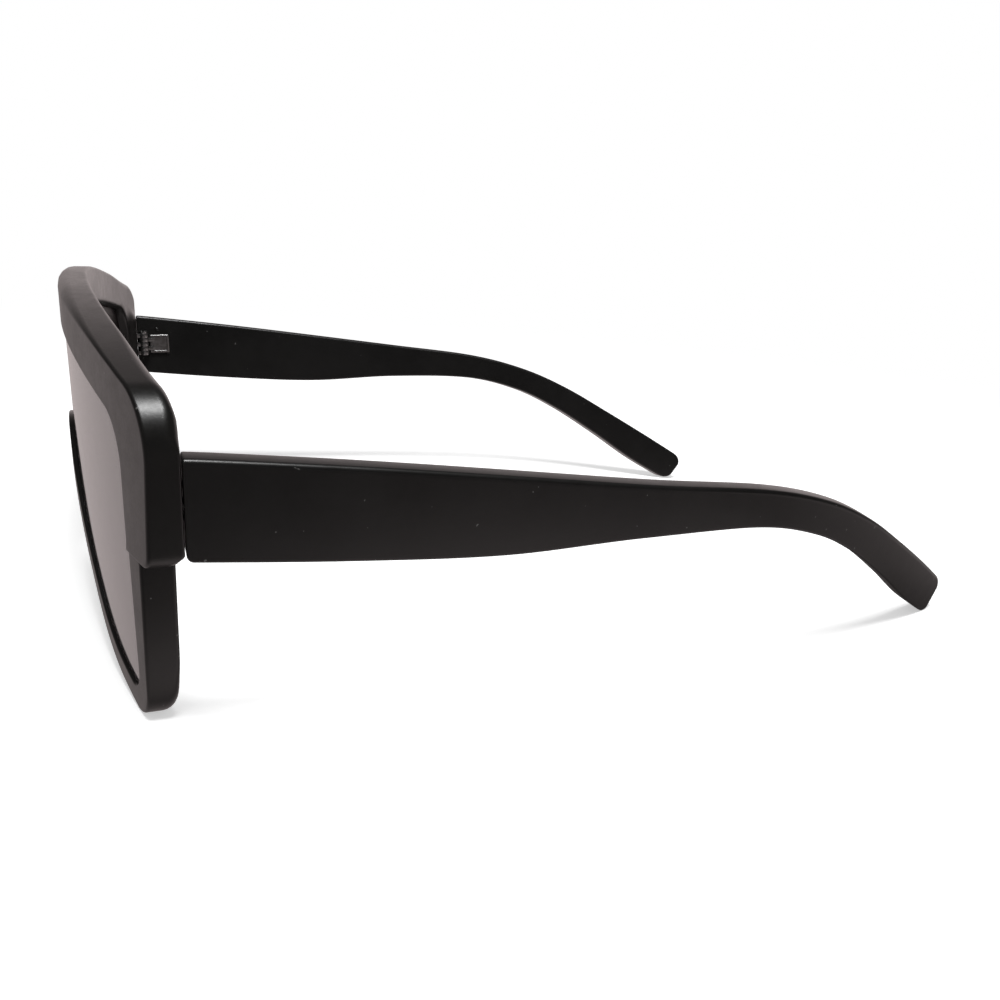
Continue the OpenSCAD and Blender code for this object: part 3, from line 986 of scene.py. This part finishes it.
def toward_backdrop(wire, way):
    """0 to 1 as this way turns towards the white backdrop, on one side of a dim studio."""
    ray = wire.node("ShaderNodeVectorMath", {"operation": "NORMALIZE"}, {0: way})
    share = wire.node(
        "ShaderNodeVectorMath", {"operation": "DOT_PRODUCT"}, {0: ray, 1: BACKDROP}, out="Value")
    return share.step(0.55, 0.97)


def make_floor():
    """A white floor that keeps the shadow. Gloss sees it glowing in painted pools of light, toward the
    backdrop and near the object.
    """
    bpy.ops.object.select_all(action="DESELECT")
    bpy.ops.mesh.primitive_circle_add(vertices=96, radius=FLOOR_R, fill_type="NGON")
    floor = new_piece("floor")
    made, wire = finish("pale_floor")
    place = wire.node("ShaderNodeTexCoord", out="Object")
    away = wire.node("ShaderNodeVectorMath", {"operation": "LENGTH"}, {0: place}, out="Value")
    seen, glossy = seen_white(wire)
    matt = wire.node("ShaderNodeBsdfDiffuse", (), {"Color": (0.82, 0.82, 0.82, 1)})
    lift = wire.node("ShaderNodeEmission", (), {"Strength": 0.5})
    white = wire.node("ShaderNodeEmission", (), {"Strength": 1.0})
    # Painted pools of light for gloss alone: beside, ahead of and behind the object, and toward the
    # backdrop.
    beside = place.axis("X").step(0.060, 0.075)
    ahead = place.axis("Y").step(-0.02, -0.07)
    behind = place.axis("Y").step(0.07, 0.12)
    pool = wire.maths("MAXIMUM", toward_backdrop(wire, place), beside * (1 - away.step(0.092, 0.12)))
    pool = wire.maths("MAXIMUM", pool, 0.4 * ahead * (1 - beside) + 0.5 * behind)
    mirrored_floor = wire.node("ShaderNodeEmission", (), {
        "Color": WARM_WHITE, "Strength": 0.15 + 0.8 * pool})
    near = wire.node("ShaderNodeAddShader", (), {0: matt, 1: lift})
    laid = wire.node("ShaderNodeMixShader", (), {0: away.step(0.12, 0.45), 1: near, 2: white})
    shown = wire.node("ShaderNodeMixShader", (), {0: seen, 1: matt, 2: laid})
    shown = wire.node("ShaderNodeMixShader", (), {0: glossy, 1: shown, 2: mirrored_floor})
    wire.node("ShaderNodeOutputMaterial", (), {"Surface": shown})
    dress(floor, made)


def make_surroundings():
    """White to the camera, dim to light the object, and a backdrop in a dim studio to gloss."""
    world = bpy.data.worlds.new("room")
    bpy.context.scene.world = world
    world.use_nodes = True
    world.node_tree.nodes.clear()
    wire = Wire(world.node_tree)
    seen, glossy = seen_white(wire)
    way = wire.node("ShaderNodeTexCoord", out="Generated")
    high = way.axis("Z").step(0.2, 0.6)
    sky = wire.node("ShaderNodeBackground", (), {
        "Color": (1, 1, 1, 1), "Strength": ROOM_LIGHT + (1 - ROOM_LIGHT) * seen})
    mirrored_sky = wire.node("ShaderNodeBackground", (), {
        "Color": WARM_WHITE, "Strength": 0.06 + toward_backdrop(wire, way) * (1 - 0.6 * high)})
    shown = wire.node("ShaderNodeMixShader", (), {0: glossy, 1: sky, 2: mirrored_sky})
    wire.node("ShaderNodeOutputWorld", (), {"Surface": shown})


def make_lamp():
    """One softbox above, for the highlights on top."""
    light = bpy.data.lights.new("softbox_above", "AREA")
    light.size = LAMP_SIZE
    light.energy = LAMP_POWER
    lamp = bpy.data.objects.new("softbox_above", light)
    bpy.context.scene.collection.objects.link(lamp)
    turn = (LAMP_TARGET - LAMP_PLACE).to_track_quat("-Z", "Y")
    lamp.matrix_world = Matrix.Translation(LAMP_PLACE) @ turn.to_matrix().to_4x4()


make_floor()
make_surroundings()
make_lamp()

# Camera, as the photograph was taken


def aim(azimuth, elevation, roll, place):
    """A camera's matrix from its place and its angles in degrees."""
    a, e, r = (radians(v) for v in (azimuth, elevation, roll))
    back = Vector((sin(a) * cos(e), -cos(a) * cos(e), sin(e)))
    level = Vector((cos(a), sin(a), 0))
    rise = back.cross(level)
    right = cos(r) * level + sin(r) * rise
    up = back.cross(right)
    return Matrix.Translation(place) @ Matrix((right, up, back)).transposed().to_4x4()


camera_data = bpy.data.cameras.new("camera")
camera_data.sensor_width = 36
camera_data.lens = 35.728
camera_data.clip_start = 0.001
camera = bpy.data.objects.new("camera", camera_data)
bpy.context.scene.collection.objects.link(camera)
camera.matrix_world = aim(67.320, 15.637, 4.827, Vector((0.183977, -0.071447, 0.065035)))
bpy.context.scene.camera = camera
bpy.context.scene.view_settings.view_transform = "Standard"
